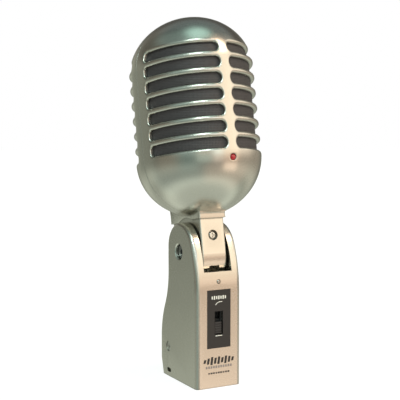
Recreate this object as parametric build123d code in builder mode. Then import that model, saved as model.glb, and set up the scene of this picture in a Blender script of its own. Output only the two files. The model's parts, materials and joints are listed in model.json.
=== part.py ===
"""Classic ribbed condenser microphone on a swivel stand base, modelled in millimetres.

Origin: centre of the stand thread on the flat bottom face.  +Z up, the front faces -Y.
The head turns on a pin across the base's two ears.  It stands leaning back a little,
so every piece of the head is drawn on planes of the tilted HEAD frame, whose origin is
the pivot: x across, y towards the rear, z up through the head.
"""
import os
from math import cos, radians, sin

from build123d import *

os.makedirs("parts", exist_ok=True)

# ---------------------------------------------------------------- driving dimensions
PIVOT_Z = 67.5           # height of the swivel pin
REST_LEAN = 10.7         # the head leans back this many degrees at rest
RUN_GAP = 0.05           # radial clearance of a turning fit
FACE_GAP = 0.15          # clearance between pieces that only stand side by side

# base
BASE_HALF_W = 12.75
WALL = 2.4
INNER_HALF_W = BASE_HALF_W - WALL
FRONT_Y = -19.7
FRONT_IN_Y = FRONT_Y + WALL
LEAN_RADIUS = 60.0
BROW_RADIUS = 15.8
CROWN_RADIUS = 13.2
HEEL_Z = 8.0
TOE_Y = 19.6
SWELL_RADIUS = 40.3      # the two equal arcs that swell the rear outwards
SWELL_TURN = 26.6
EAR_SLOT_HALF = 7.95
FRONT_LIP_Z = 58.9
REAR_LIP_Z = 54.0
WELL_Z = 50.0            # above this height only the tongue's well is hollow
EAR_HOLE_R = 3.9
PLATE_T = 2.4
EDGE_R = 2.2
PLATE_SCREW_SPOTS = [(0, -13.9), (0, 13.9)]
STOP_PIN_AT = [(0, 54.0)]
PIVOT_AT = [(0, PIVOT_Z)]
DRAIN_SLOT_AT = (11.3, 3.4)

# stand thread, 5/8"-27: minor diameter 14.86
THREAD_R = 7.43
INSERT_FLANGE_R = 9.6
INSERT_NECK_R = 8.6
INSERT_H = 6.8

# XLR inlet, three pins
XLR_Z = 16.5
XLR_R = 9.3
XLR_CAVITY_R = 8.2
XLR_FRONT_Y = 3.0
XLR_REAR_Y = 21.7
XLR_FLOOR_Y = 8.0
XLR_PIN_R = 1.2
XLR_PIN_PITCH = 3.57
XLR_PIN_SPOTS = [(-XLR_PIN_PITCH, XLR_Z), (XLR_PIN_PITCH, XLR_Z), (0, XLR_Z - XLR_PIN_PITCH)]
SIDE_SCREW = (12.1, 15.9)

# low-cut switch and its plate
LABEL_HALF_W = 6.72
LABEL_Z = (20.3, 49.9)
LABEL_T = 0.6
WINDOW_HALF_W = 2.6
WINDOW_Z = (27.0, 39.2)
KNOB_HALF_W = 1.9
KNOB_Z = (27.6, 33.4)
BOARD_Y = -12.4
BOARD_T = 1.2
BOARD_SCREW_SPOTS = [(-6.6, 43.6), (6.6, 43.6)]

# swivel
PIN_R = 3.0
PIN_HALF_L = 9.0
TONGUE_HALF_W = 7.0
TONGUE_R = 15.0
TONGUE_DROP = 2.5        # how far the rounded sole's centre lies below the pivot
TONGUE_TOP = 26.2
CABLE_Y = 7.4
CABLE_BORE_R = 2.0
NOTCH_HALF_W = 2.9
NOTCH_TOP = -8.6
TENSION_Z = 6.8

# head
HEAD_A = 31.3            # half width
HEAD_B = 36.4            # half depth
SEAM_Y = -6.5            # the front and rear shells meet here
SIDE_LOW = 47.1          # the straight part of the side, between the two domes
SIDE_HIGH = 91.5
DOME_LOW = 30.1
DOME_HIGH = 29.2
SHELL_T = 2.0
SLOT_COUNT = 7
SLOT_TOP_Z = 97.7
SLOT_PITCH = 7.99
SLOT_H = 5.2
RIB_HALF_W = 2.4         # the central rib
SIDE_BAND = 7.4          # plain metal from the seam to the slots' ends
SLOT_END_R = 1.8
LED_Z = 42.4
LED_HOLE_R = 1.65
LED_FLANGE_Y = -37.7
COLLAR_HALF_W = 7.7
COLLAR_Z = 15.4
COLLAR_FRONT = -16.3
COLLAR_REAR = 16.6
COLLAR_ARCH_R = 17.3     # the collar's sides are cut back round the pivot
CHASSIS_T = 1.8
CHASSIS_TOP = TONGUE_TOP + CHASSIS_T
CAPSULE_Z = 76.0
CAPSULE_R = 17.0
CAPSULE_FRONT = SEAM_Y - 6
CAPSULE_REAR = SEAM_Y + 6
CAPSULE_AT = [(0, CAPSULE_Z)]
FRAME_HALF_T = 1.6       # half the thickness of the frame behind the seam
LINING_Z = (SLOT_TOP_Z - (SLOT_COUNT - 1) * SLOT_PITCH - 4.3, SLOT_TOP_Z + 4.7)
LINING_Y = {-1: (-60, SEAM_Y - FRAME_HALF_T - 0.4), 1: (SEAM_Y + FRAME_HALF_T + 0.4, 60)}
PCB_FRONT = SEAM_Y + 2.9
PCB_T = 1.6
PCB_REAR = PCB_FRONT + PCB_T
SEAM_GAP = 0.08          # half the dark line between the shells
LUG_X = 10.0             # bosses and chassis tabs that hold the shells
LUG_Z = 31.6
LUG_SPOTS = [(-LUG_X, LUG_Z), (LUG_X, LUG_Z)]
TAB_Y = {-1: -23.0, 1: 10.0}
TAB_T = 1.5
SCREW_SEAT_Y = 17.4
TONGUE_SCREW_SPOTS = [(0, -10.0), (0, 11.1)]
FRAME_SCREW_SPOTS = [(-16.4, SEAM_Y), (16.4, SEAM_Y)]

LEAN = radians(REST_LEAN)
HEAD = Plane(origin=(0, 0, PIVOT_Z), x_dir=(1, 0, 0), z_dir=(0, sin(LEAN), cos(LEAN)))
DEPTH = Axis(HEAD.origin, HEAD.y_dir)


# ---------------------------------------------------------------- planes and helpers
def base_front(y):
    """Upright plane at this depth, its normal towards the front; sketch x, y = X, Z."""
    return Plane(origin=(0, y, 0), x_dir=(1, 0, 0), z_dir=(0, -1, 0))


def base_side(x):
    """Plane across the base at this X; sketch x, y = Y, Z."""
    return Plane(origin=(x, 0, 0), x_dir=(0, 1, 0), z_dir=(1, 0, 0))


def head_level(z):
    """Plane parallel to the head's plan, at this height above the pivot."""
    return HEAD.offset(z)


def head_front(y):
    """The head's upright plane at this depth, its normal towards the front."""
    return Plane(origin=HEAD.from_local_coords((0, y, 0)), x_dir=HEAD.x_dir, z_dir=-HEAD.y_dir)


def head_side(x):
    """The head's plane across X; sketch x, y = head y, z."""
    return Plane(origin=HEAD.from_local_coords((x, 0, 0)), x_dir=HEAD.y_dir, z_dir=HEAD.x_dir)


def rect_on(plane, low, high, depth, mode=Mode.ADD):
    """Extrude the rectangle between two corners of the plane by this depth."""
    with BuildSketch(plane) as profile:
        with Locations(((low[0] + high[0]) / 2, (low[1] + high[1]) / 2)):
            Rectangle(high[0] - low[0], high[1] - low[1])
    extrude(profile.sketch, amount=depth, mode=mode)


def disc_on(plane, centres, radius, depth, mode=Mode.ADD):
    """Extrude one disc at each centre on the plane by this depth."""
    with BuildSketch(plane) as profile:
        with Locations(*centres):
            Circle(radius)
    extrude(profile.sketch, amount=depth, mode=mode)


def cord_on(points, radii, radius):
    """Sweep a round wire along straight runs joined by tangent arcs."""
    with BuildLine() as route:
        FilletPolyline(*points, radius=radii)
    with BuildSketch(Plane(origin=route.line @ 0, z_dir=route.line % 0)) as section:
        Circle(radius)
    sweep(section.sketch, path=route.line)


def head_points(points):
    """The same points, given in the head's frame, as points of the row frame."""
    return [HEAD.from_local_coords(point) for point in points]


def finish(piece, name):
    """Label a finished piece and write it as its own node."""
    piece.label = name
    export_step(piece, f"parts/{name}.step")


def base_profile(plane, inset=0):
    """Side profile of the base, or the same profile shrunk evenly by the inset.

    A straight front, a leaning brow, round ears and a swelling rear; every arc keeps
    its centre and turn when it is inset, and only its radius changes.
    """
    with BuildSketch(plane) as profile:
        with BuildLine():
            face = Line((FRONT_Y + inset, inset), (FRONT_Y + inset, 48))
            lean = JernArc(face @ 1, (0, 1), LEAN_RADIUS - inset, -25)
            brow = JernArc(lean @ 1, lean % 1, BROW_RADIUS - inset, -65)
            crown = JernArc(brow @ 1, (1, 0), CROWN_RADIUS - inset, -90)
            nape = Line(crown @ 1, ((crown @ 1).X, 56))
            upper = JernArc(nape @ 1, (0, -1), SWELL_RADIUS + inset, SWELL_TURN)
            lower = JernArc(upper @ 1, upper % 1, SWELL_RADIUS - inset, -SWELL_TURN)
            heel = Line(lower @ 1, ((lower @ 1).X, HEEL_Z))
            toe = Line(heel @ 1, (TOE_Y - inset, inset))
            Line(toe @ 1, face @ 0)
        make_face()
    return profile.sketch


def head_form(inset):
    """The head's capsule form with an oval plan, shrunk evenly by the inset."""
    with BuildPart() as form:
        with BuildSketch(Plane.XZ):
            with BuildLine():
                low = EllipticalCenterArc((0, SIDE_LOW), HEAD_A - inset, DOME_LOW - inset, -90, arc_size=90)
                side = Line(low @ 1, (HEAD_A - inset, SIDE_HIGH))
                top = EllipticalCenterArc((0, SIDE_HIGH), HEAD_A - inset, DOME_HIGH - inset, 0, arc_size=90)
                Line(top @ 1, low @ 0)
            make_face()
        revolve(axis=Axis.Z)
        scale(by=(1, (HEAD_B - inset) / (HEAD_A - inset), 1))
    return form.part.moved(Location((0, SEAM_Y, 0)))


def form_layer(outer, inner, y_low, y_high, z_low, z_high):
    """The layer between two head forms, kept inside a box of the head's frame."""
    add(outer)
    add(inner, mode=Mode.SUBTRACT)
    centre = (0, (y_low + y_high) / 2, (z_low + z_high) / 2)
    with Locations(centre):
        Box(4 * HEAD_A, y_high - y_low, z_high - z_low, mode=Mode.INTERSECT)


def slot_cutter(side):
    """Seven pairs of sound slots; side -1 cuts the front shell, +1 the rear one."""
    end_y = SEAM_Y + side * SIDE_BAND
    with BuildPart() as cutter:
        for row in range(SLOT_COUNT):
            z = SLOT_TOP_Z - row * SLOT_PITCH
            for hand in (-1, 1):
                with Locations((hand * (RIB_HALF_W + HEAD_A), end_y + side * HEAD_B, z)):
                    Box(2 * HEAD_A, 2 * HEAD_B, SLOT_H)
        rib_ends = cutter.edges().filter_by(Axis.Y).filter_by(
            lambda edge: abs(abs(edge.center().X) - RIB_HALF_W) < 0.01)
        fillet(rib_ends, SLOT_H / 2 - 0.01)
        side_ends = cutter.edges().filter_by(Axis.X).filter_by(
            lambda edge: abs(edge.center().Y - end_y) < 0.01)
        fillet(side_ends, SLOT_END_R)
    return cutter.part


# ---------------------------------------------------------------- base
base_inside = base_profile(Plane.XY, WALL)

with BuildPart() as base_housing:
    extrude(base_profile(base_side(-BASE_HALF_W)), amount=2 * BASE_HALF_W)
    rims = base_housing.faces().filter_by(Axis.X).edges()
    fillet(rims.filter_by(lambda edge: edge.center().Z > 0.1), EDGE_R)
    with BuildSketch(base_side(-INNER_HALF_W)):
        add(base_inside)
        with Locations((0, WELL_Z / 2)):
            Rectangle(80, WELL_Z, mode=Mode.INTERSECT)
    extrude(amount=2 * INNER_HALF_W, mode=Mode.SUBTRACT)
    with BuildSketch(base_side(-EAR_SLOT_HALF)):
        add(base_inside)
        with Locations((0, WELL_Z + 20)):
            Rectangle(80, 42, mode=Mode.INTERSECT)
    extrude(amount=2 * EAR_SLOT_HALF, mode=Mode.SUBTRACT)
    # the open slot between the ears, lower at the rear than at the front
    rect_on(base_side(-EAR_SLOT_HALF), (-30, FRONT_LIP_Z), (0, 95), 2 * EAR_SLOT_HALF, Mode.SUBTRACT)
    rect_on(base_side(-EAR_SLOT_HALF), (-1, REAR_LIP_Z), (30, 95), 2 * EAR_SLOT_HALF, Mode.SUBTRACT)
    # pocket for the bottom plate, and its two screw posts
    rect_on(base_side(-INNER_HALF_W), (FRONT_IN_Y, -1), (17.0, PLATE_T + 0.05), 2 * INNER_HALF_W,
            Mode.SUBTRACT)
    rect_on(base_side(-3.2), (FRONT_IN_Y - 0.5, PLATE_T), (-10.6, 12.0), 6.4)
    rect_on(base_side(-INNER_HALF_W - 0.5), (10.4, PLATE_T), (17.2, 6.9), 2 * INNER_HALF_W + 1)
    disc_on(Plane.XY.offset(PLATE_T), PLATE_SCREW_SPOTS, 1.05, 3.9, Mode.SUBTRACT)
    # XLR opening in the rear, round to the insert
    disc_on(base_front(30), [(0, XLR_Z)], XLR_R + RUN_GAP, 30 - XLR_FRONT_Y, Mode.SUBTRACT)
    # swivel holes through the ears, with a chamfered mouth
    disc_on(base_side(-20), PIVOT_AT, EAR_HOLE_R, 40, Mode.SUBTRACT)
    mouths = base_housing.edges().filter_by(GeomType.CIRCLE).filter_by(
        lambda edge: abs(abs(edge.center().X) - BASE_HALF_W) < 0.01 and abs(edge.radius - EAR_HOLE_R) < 0.01
    )
    chamfer(mouths, 0.5)
    # counterbored holes for the two screws that hold the XLR insert
    disc_on(base_side(-20), [SIDE_SCREW], 1.35, 40, Mode.SUBTRACT)
    disc_on(base_side(-20), [SIDE_SCREW], 2.6, 20 - BASE_HALF_W + 1.4, Mode.SUBTRACT)
    disc_on(base_side(20), [SIDE_SCREW], 2.6, BASE_HALF_W - 20 - 1.4, Mode.SUBTRACT)
    # small oblong drain slots low on the sides
    for hand in (-1, 1):
        with BuildSketch(base_side(hand * (INNER_HALF_W - 0.3))):
            with Locations(DRAIN_SLOT_AT):
                SlotOverall(4.4, 2.2)
        extrude(amount=hand * 5, mode=Mode.SUBTRACT)
    # label pocket and switch window
    rect_on(base_front(FRONT_Y + LABEL_T), (-LABEL_HALF_W - 0.05, LABEL_Z[0] - 0.05),
            (LABEL_HALF_W + 0.05, LABEL_Z[1] + 0.05), 5, Mode.SUBTRACT)
    rect_on(base_front(-16), (-WINDOW_HALF_W, WINDOW_Z[0]), (WINDOW_HALF_W, WINDOW_Z[1]), 6, Mode.SUBTRACT)
    # bosses behind the front wall for the switch board, and the stop pin's hole
    disc_on(base_front(BOARD_Y), BOARD_SCREW_SPOTS, 1.9, BOARD_Y - FRONT_IN_Y + 0.6)
    disc_on(base_front(BOARD_Y), BOARD_SCREW_SPOTS, 0.85, 4.5, Mode.SUBTRACT)
    disc_on(base_front(-10), STOP_PIN_AT, 1.15, 20, Mode.SUBTRACT)
finish(base_housing.part, "base_housing")

with BuildPart() as bottom_plate:
    rect_on(base_side(-INNER_HALF_W + 0.1), (FRONT_IN_Y + 0.1, 0), (16.9, PLATE_T), 2 * INNER_HALF_W - 0.2)
    disc_on(Plane.XY, [(0, 0)], INSERT_NECK_R, PLATE_T, Mode.SUBTRACT)
    disc_on(Plane.XY, PLATE_SCREW_SPOTS, 1.3, PLATE_T, Mode.SUBTRACT)
    with Locations(*[Location((x, y, 0), (180, 0, 0)) for x, y in PLATE_SCREW_SPOTS]):
        CounterSinkHole(radius=1.3, counter_sink_radius=2.5, depth=PLATE_T)
finish(bottom_plate.part, "bottom_plate")

with BuildPart() as bottom_screws:
    for _, y in PLATE_SCREW_SPOTS:
        with BuildSketch(base_side(0)):
            with BuildLine():
                Polyline((y, 0.25), (y, 6.0), (y + 1.0, 6.0), (y + 1.0, 1.45), (y + 2.2, 0.25), close=True)
            make_face()
        revolve(axis=Axis((0, y, 0), (0, 0, 1)))
    with BuildSketch(Plane.XY):
        with Locations(*PLATE_SCREW_SPOTS):
            Rectangle(2.6, 0.5)
            Rectangle(0.5, 2.6)
    extrude(amount=1.1, mode=Mode.SUBTRACT)
finish(bottom_screws.part, "bottom_screws")

with BuildPart() as thread_insert:
    disc_on(Plane.XY, [(0, 0)], INSERT_NECK_R - 0.02, INSERT_H)
    disc_on(Plane.XY.offset(PLATE_T), [(0, 0)], INSERT_FLANGE_R, INSERT_H - PLATE_T)
    disc_on(Plane.XY, [(0, 0)], THREAD_R, INSERT_H, Mode.SUBTRACT)
    flange_rims = thread_insert.edges().filter_by(GeomType.CIRCLE).filter_by(
        lambda edge: abs(edge.radius - INSERT_FLANGE_R) < 0.01)
    chamfer(flange_rims, 0.3)
finish(thread_insert.part, "thread_insert")

with BuildPart() as label_plate:
    rect_on(base_front(FRONT_Y + LABEL_T - 0.02), (-LABEL_HALF_W, LABEL_Z[0]), (LABEL_HALF_W, LABEL_Z[1]),
            LABEL_T - 0.1)
    rect_on(base_front(-16), (-WINDOW_HALF_W + 0.2, WINDOW_Z[0] + 0.2),
            (WINDOW_HALF_W - 0.2, WINDOW_Z[1] - 0.2), 6, Mode.SUBTRACT)
finish(label_plate.part, "label_plate")

with BuildPart() as stop_pin:
    disc_on(base_front(-14.6), STOP_PIN_AT, 1.13, 3.9)
    disc_on(base_front(-14.6), STOP_PIN_AT, 0.8, -14.6 - FRONT_Y - FACE_GAP)
    chamfer(stop_pin.faces().sort_by(Axis.Y)[0].edges(), 0.15)
finish(stop_pin.part, "stop_pin")

# ---------------------------------------------------------------- low-cut switch
with BuildPart() as switch_body:
    rect_on(base_front(BOARD_Y), (-4.6, 25.0), (4.6, 41.2), 4.7)
    rect_on(base_front(BOARD_Y - 1.2), (-3.4, 26.2), (3.4, 40.0), 2.6, Mode.SUBTRACT)
    rect_on(base_front(BOARD_Y - 1.2), (-KNOB_HALF_W - 0.3, WINDOW_Z[0]), (KNOB_HALF_W + 0.3, WINDOW_Z[1]),
            5, Mode.SUBTRACT)
finish(switch_body.part, "switch_body")

with BuildPart() as switch_slider:
    rect_on(base_front(-16.0), (-KNOB_HALF_W, KNOB_Z[0]), (KNOB_HALF_W, KNOB_Z[1]), 3.1)
    for rib in range(4):
        z = KNOB_Z[0] + 1.0 + rib * 1.27
        rect_on(base_front(-18.7), (-KNOB_HALF_W, z - 0.32), (KNOB_HALF_W, z + 0.32), 2, Mode.SUBTRACT)
    rect_on(base_front(-13.9), (-3.1, KNOB_Z[0] - 1.0), (3.1, KNOB_Z[1] + 1.0), 1.9)
    rect_on(base_front(-15.7), (-KNOB_HALF_W, KNOB_Z[0]), (KNOB_HALF_W, KNOB_Z[1]), 0.5)
finish(switch_slider.part, "switch_slider")

with BuildPart() as switch_board:
    rect_on(base_front(BOARD_Y + BOARD_T), (-9.4, 23.0), (9.4, 46.6), BOARD_T)
    disc_on(base_front(BOARD_Y + BOARD_T), BOARD_SCREW_SPOTS, 1.1, BOARD_T, Mode.SUBTRACT)
finish(switch_board.part, "switch_board")

with BuildPart() as switch_screws:
    disc_on(base_front(BOARD_Y + BOARD_T + 1.1), BOARD_SCREW_SPOTS, 1.7, 1.1)
    disc_on(base_front(BOARD_Y + BOARD_T), BOARD_SCREW_SPOTS, 0.8, 5.2)
finish(switch_screws.part, "switch_screws")

# ---------------------------------------------------------------- XLR inlet
with BuildPart() as xlr_shell:
    disc_on(base_front(XLR_REAR_Y), [(0, XLR_Z)], XLR_R, XLR_REAR_Y - XLR_FRONT_Y)
    disc_on(base_front(XLR_REAR_Y), [(0, XLR_Z)], XLR_CAVITY_R, XLR_REAR_Y - XLR_FRONT_Y, Mode.SUBTRACT)
    disc_on(base_side(-20), [SIDE_SCREW], 1.1, 40, Mode.SUBTRACT)
finish(xlr_shell.part, "xlr_shell")

with BuildPart() as xlr_insulator:
    disc_on(base_front(XLR_FLOOR_Y), [(0, XLR_Z)], XLR_CAVITY_R - 0.02, XLR_FLOOR_Y - XLR_FRONT_Y - 0.2)
    disc_on(base_front(XLR_FLOOR_Y), XLR_PIN_SPOTS, XLR_PIN_R + 0.01, 10, Mode.SUBTRACT)
finish(xlr_insulator.part, "xlr_insulator")

with BuildPart() as xlr_pins:
    disc_on(base_front(20.2), XLR_PIN_SPOTS, XLR_PIN_R, 19.2)
    fillet(xlr_pins.faces().sort_by(Axis.Y)[-3:].edges(), 0.8)
    disc_on(base_front(3.6), XLR_PIN_SPOTS, 0.75, 2.7, Mode.SUBTRACT)
finish(xlr_pins.part, "xlr_pins")

with BuildPart() as xlr_screws:
    for hand in (-1, 1):
        plane = base_side(hand * (BASE_HALF_W - 0.35))
        with BuildSketch(plane):
            with Locations(SIDE_SCREW):
                Circle(2.4)
        extrude(amount=-hand * 1.0)
        with BuildSketch(plane):
            with Locations(SIDE_SCREW):
                Rectangle(2.8, 0.5)
                Rectangle(0.5, 2.8)
        extrude(amount=-hand * 0.6, mode=Mode.SUBTRACT)
        with BuildSketch(base_side(hand * (BASE_HALF_W - 1.3))):
            with Locations(SIDE_SCREW):
                Circle(1.05)
        extrude(amount=-hand * 3.4)
finish(xlr_screws.part, "xlr_screws")

with BuildPart() as base_harness:
    xlr_end = (0, 0.3, XLR_Z - XLR_PIN_PITCH)
    cord_on([(0, -11.1, 30), (0, -6.5, 30), (0, -6.5, 20), xlr_end], [2.0, 2.4], 0.9)
    cord_on([(0, -11.1, 38), (0, -6.0, 38), (0, -6.0, 50.0)], [2.2], 1.3)
finish(base_harness.part, "base_harness")

# ---------------------------------------------------------------- swivel, fixed side
with BuildPart() as pivot_pin:
    disc_on(base_side(-PIN_HALF_L), PIVOT_AT, PIN_R, 2 * PIN_HALF_L)
    disc_on(base_side(-PIN_HALF_L), PIVOT_AT, 1.25, 5.2, Mode.SUBTRACT)
    disc_on(base_side(PIN_HALF_L), PIVOT_AT, 1.25, -5.2, Mode.SUBTRACT)
finish(pivot_pin.part, "pivot_pin")

with BuildPart() as pivot_bushings:
    for hand in (-1, 1):
        disc_on(base_side(hand * PIN_HALF_L), PIVOT_AT, EAR_HOLE_R - 0.02, -hand * (PIN_HALF_L - 7.85))
        disc_on(base_side(hand * 20), PIVOT_AT, PIN_R + 0.02, -hand * 19, Mode.SUBTRACT)
finish(pivot_bushings.part, "pivot_bushings")

with BuildPart() as friction_washers:
    for hand in (-1, 1):
        disc_on(base_side(hand * 7.82), PIVOT_AT, 7.5, -hand * 0.6)
        disc_on(base_side(hand * 20), PIVOT_AT, PIN_R + 0.02, -hand * 19, Mode.SUBTRACT)
finish(friction_washers.part, "friction_washers")

with BuildPart() as pivot_screws:
    for hand in (-1, 1):
        disc_on(base_side(hand * 11.0), PIVOT_AT, 3.6, -hand * (11.0 - PIN_HALF_L - 0.02))
        disc_on(base_side(hand * 11.0), PIVOT_AT, 1.2, -hand * 6.5)
        with BuildSketch(base_side(hand * 11.0)):
            with Locations((0, PIVOT_Z)):
                RegularPolygon(1.45, 6)
        extrude(amount=-hand * 1.5, mode=Mode.SUBTRACT)
finish(pivot_screws.part, "pivot_screws")

# ---------------------------------------------------------------- swivel, turning side
with BuildPart() as swivel_tongue:
    with BuildSketch(head_side(-TONGUE_HALF_W)):
        with BuildLine():
            sole = CenterArc((0, -TONGUE_DROP), TONGUE_R, 180, 180)
            Polyline(sole @ 1, (TONGUE_R, 17), (12.9, 19), (12.9, TONGUE_TOP), (-12.9, TONGUE_TOP),
                     (-12.9, 19), (-TONGUE_R, 17), sole @ 0)
        make_face()
    extrude(amount=2 * TONGUE_HALF_W)
    rims = swivel_tongue.edges().filter_by(
        lambda edge: abs(abs(edge.center().X) - TONGUE_HALF_W) < 0.01
        and HEAD.to_local_coords(edge.center()).Z < 16)
    fillet(rims, 0.9)
    # pivot bore, cable bore and the notch where the cable leaves
    disc_on(head_side(-10), [(0, 0)], PIN_R + RUN_GAP, 20, Mode.SUBTRACT)
    disc_on(head_level(TONGUE_TOP), [(0, CABLE_Y)], CABLE_BORE_R, -(TONGUE_TOP - NOTCH_TOP), Mode.SUBTRACT)
    rect_on(head_side(-NOTCH_HALF_W), (-20, -20), (CABLE_Y + CABLE_BORE_R, NOTCH_TOP), 2 * NOTCH_HALF_W,
            Mode.SUBTRACT)
    # tension screw hole and the friction shoe's pocket between it and the pin
    disc_on(head_front(-0.6), [(0, TENSION_Z)], 1.5 + RUN_GAP, 20, Mode.SUBTRACT)
    disc_on(head_front(-TONGUE_R + 2.2), [(0, TENSION_Z)], 2.7, 20, Mode.SUBTRACT)
    rect_on(head_side(-2.6), (-2.6, 0), (2.6, TENSION_Z), 5.2, Mode.SUBTRACT)
    disc_on(head_level(TONGUE_TOP), TONGUE_SCREW_SPOTS, 1.05, -8, Mode.SUBTRACT)
finish(swivel_tongue.part, "swivel_tongue")

with BuildPart() as friction_shoe:
    rect_on(head_side(-2.5), (-2.5, 0.5), (2.5, TENSION_Z - 1.8), 5.0)
    disc_on(head_side(-10), [(0, 0)], PIN_R + RUN_GAP, 20, Mode.SUBTRACT)
finish(friction_shoe.part, "friction_shoe")

with BuildPart() as tension_screw:
    disc_on(head_front(-13.2), [(0, TENSION_Z)], 1.75, 1.3)
    disc_on(head_front(-1.4), [(0, TENSION_Z)], 1.5, 12)
    chamfer(tension_screw.faces().sort_by(DEPTH)[-1].edges(), 0.9)
    fillet(tension_screw.faces().sort_by(DEPTH)[0].edges(), 0.4)
    with BuildSketch(head_front(-14.5)):
        with Locations((0, TENSION_Z)):
            Rectangle(2.4, 0.6)
            Rectangle(0.6, 2.4)
    extrude(amount=-0.8, mode=Mode.SUBTRACT)
finish(tension_screw.part, "tension_screw")

# ---------------------------------------------------------------- head shells
outer_form = head_form(0)
inner_form = head_form(SHELL_T)


def shell(side):
    """One half of the cast head: ribbed grille, domes, half of the collar and two bosses."""
    seam = SEAM_Y + side * SEAM_GAP
    add(outer_form)
    with Locations((0, seam + side * 30, 65)):
        Box(80, 60, 130, mode=Mode.INTERSECT)
    with BuildSketch(head_side(-COLLAR_HALF_W)) as collar:
        with BuildLine():
            if side < 0:
                Polyline((seam, COLLAR_Z), (COLLAR_FRONT, COLLAR_Z), (COLLAR_FRONT, 19.2), (seam, 21.0),
                         close=True)
            else:
                lip = Polyline((seam, COLLAR_Z), (COLLAR_REAR, COLLAR_Z), (COLLAR_REAR, 18.4))
                flare = ThreePointArc(lip @ 1, (17.6, 22.2), (20.5, 27.2))
                Polyline(flare @ 1, (15.5, 27.0), (seam, 21.0), lip @ 0)
        make_face()
    extrude(collar.sketch, amount=2 * COLLAR_HALF_W)
    disc_on(head_side(-10), [(0, 0)], COLLAR_ARCH_R, 20, Mode.SUBTRACT)
    # room for the tongue and, above it, the hollow of the head
    room_x = TONGUE_HALF_W + RUN_GAP
    room_y = TONGUE_R + RUN_GAP
    rect_on(head_side(-room_x), (-room_y, 0), (room_y, TONGUE_TOP + 1), 2 * room_x, Mode.SUBTRACT)
    add(hollow_for[side], mode=Mode.SUBTRACT)
    add(slot_cutter_for[side], mode=Mode.SUBTRACT)
    disc_on(head_front(TAB_Y[side]), LUG_SPOTS, 1.25, -side * 9.0, Mode.SUBTRACT)


def hollow_form(side):
    """The hollow inside one shell, around the two bosses that reach in to the chassis tabs."""
    with BuildPart() as hollow:
        add(inner_form)
        for hand in (-1, 1):
            boss_end = (hand * LUG_X, TAB_Y[side] + side * FACE_GAP, LUG_Z)
            with Locations(Location(boss_end, (-side * 90, 0, 0))):
                Cylinder(2.6, 30, align=(Align.CENTER, Align.CENTER, Align.MIN), mode=Mode.SUBTRACT)
    return hollow.part


slot_cutter_for = {side: slot_cutter(side) for side in (-1, 1)}
hollow_for = {side: hollow_form(side) for side in (-1, 1)}

with BuildPart(HEAD) as front_grille:
    shell(-1)
    disc_on(head_front(-30), [(0, LED_Z)], LED_HOLE_R, 20, Mode.SUBTRACT)
finish(front_grille.part, "front_grille")

with BuildPart(HEAD) as rear_grille:
    shell(1)
    disc_on(head_front(SCREW_SEAT_Y), LUG_SPOTS, 2.7, -20, Mode.SUBTRACT)
    disc_on(head_front(TAB_Y[1]), LUG_SPOTS, 1.3, -20, Mode.SUBTRACT)
finish(rear_grille.part, "rear_grille")

with BuildPart(HEAD) as shell_screws:
    disc_on(head_front(SCREW_SEAT_Y + 1.5), LUG_SPOTS, 2.4, 1.5)
    disc_on(head_front(SCREW_SEAT_Y + 1.5), LUG_SPOTS, 1.2, 13)
    with BuildSketch(head_front(SCREW_SEAT_Y + 1.5)):
        with Locations(*LUG_SPOTS):
            Rectangle(2.8, 0.6)
            Rectangle(0.6, 2.8)
    extrude(amount=0.9, mode=Mode.SUBTRACT)
finish(shell_screws.part, "shell_screws")

with BuildPart(HEAD) as lug_screws:
    disc_on(head_front(TAB_Y[-1] + TAB_T + 1.4), LUG_SPOTS, 2.2, 1.4)
    disc_on(head_front(TAB_Y[-1] + TAB_T + 1.4), LUG_SPOTS, 1.2, 10)
finish(lug_screws.part, "lug_screws")

# ---------------------------------------------------------------- mesh and foam linings
mesh_out = head_form(SHELL_T + 0.15)
mesh_in = head_form(SHELL_T + 0.75)
foam_out = head_form(SHELL_T + 0.9)
foam_in = head_form(SHELL_T + 3.6)

with BuildPart(HEAD) as front_mesh:
    form_layer(mesh_out, mesh_in, *LINING_Y[-1], *LINING_Z)
finish(front_mesh.part, "front_mesh")

with BuildPart(HEAD) as rear_mesh:
    form_layer(mesh_out, mesh_in, *LINING_Y[1], *LINING_Z)
finish(rear_mesh.part, "rear_mesh")

with BuildPart(HEAD) as front_foam:
    form_layer(foam_out, foam_in, *LINING_Y[-1], *LINING_Z)
finish(front_foam.part, "front_foam")

with BuildPart(HEAD) as rear_foam:
    form_layer(foam_out, foam_in, *LINING_Y[1], *LINING_Z)
finish(rear_foam.part, "rear_foam")

# ---------------------------------------------------------------- chassis
frame_out = head_form(SHELL_T + 0.25)
frame_in = head_form(SHELL_T + 4.2)

with BuildPart(HEAD) as mid_frame:
    form_layer(frame_out, frame_in, SEAM_Y - FRAME_HALF_T, SEAM_Y + FRAME_HALF_T, CHASSIS_TOP, 130)
    for hand in (-1, 1):
        with Locations((hand * 17.5, SEAM_Y, CHASSIS_TOP + 3.5)):
            Box(7, 2 * FRAME_HALF_T, 7)
    disc_on(head_level(CHASSIS_TOP), FRAME_SCREW_SPOTS, 1.02, 5.2, Mode.SUBTRACT)
finish(mid_frame.part, "mid_frame")

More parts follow.
